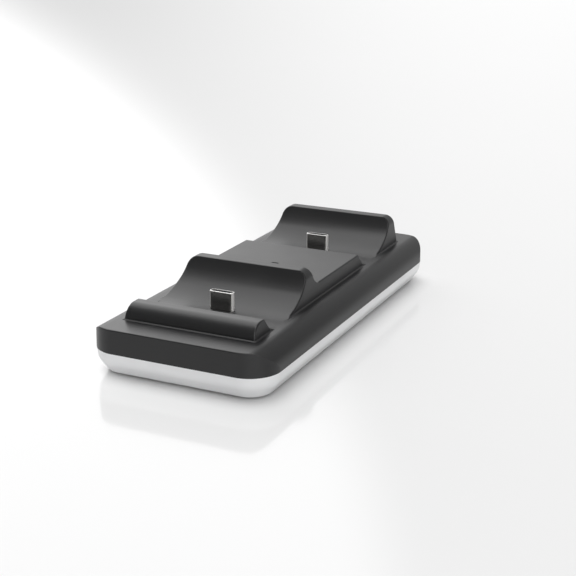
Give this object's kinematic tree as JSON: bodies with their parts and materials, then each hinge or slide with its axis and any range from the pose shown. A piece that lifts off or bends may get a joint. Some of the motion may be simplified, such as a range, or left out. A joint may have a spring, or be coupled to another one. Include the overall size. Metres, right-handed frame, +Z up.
{
  "type": "controller charging dock",
  "caption": "Desktop charging dock for game controllers: pale base tray, matte black cover with stepped cradles, upright metal charging plugs and a power inlet at the back",
  "frame": {"origin": "bottom centre of the bounding box, on the table under the middle of the dock", "axes": "+Z up, +Y towards the back where the power inlet is, +X to the right of someone facing the front"},
  "size_m": [0.061, 0.1354, 0.0257],
  "materials": {
    "tray_plastic": "near-white satin moulding",
    "cover_plastic": "black moulding with a fine satin grain",
    "plug_metal": "bright nickel plate on drawn steel",
    "insulator_plastic": "black glass-filled moulding",
    "contact_metal": "gold-plated contact strip",
    "board_laminate": "green solder mask on glass laminate",
    "chip_epoxy": "black moulded epoxy",
    "capacitor_can": "drawn aluminium can",
    "passive_ceramic": "fired ceramic",
    "lamp_lens": "clear resin lens",
    "smoked_lens": "smoked clear moulding",
    "foot_rubber": "matte black rubber",
    "screw_steel": "zinc-plated steel"
  },
  "bodies": {
    "root": {"base_tray": "tray_plastic", "top_cover": "cover_plastic", "main_board": "board_laminate", "front_plug_base": "insulator_plastic", "front_plug_shell": "plug_metal", "front_plug_insulator": "insulator_plastic", "front_plug_contacts": "contact_metal", "rear_plug_base": "insulator_plastic", "rear_plug_shell": "plug_metal", "rear_plug_insulator": "insulator_plastic", "rear_plug_contacts": "contact_metal", "inlet_shell": "plug_metal", "inlet_insulator": "insulator_plastic", "inlet_contacts": "contact_metal", "charge_controller": "chip_epoxy", "front_power_switch": "chip_epoxy", "rear_power_switch": "chip_epoxy", "storage_capacitor": "capacitor_can", "board_passives": "passive_ceramic", "indicator_led": "lamp_lens", "light_pipe": "smoked_lens", "left_front_foot": "foot_rubber", "right_front_foot": "foot_rubber", "left_rear_foot": "foot_rubber", "right_rear_foot": "foot_rubber", "case_screws": "screw_steel", "board_screws": "screw_steel"}
  },
  "joints": []
}
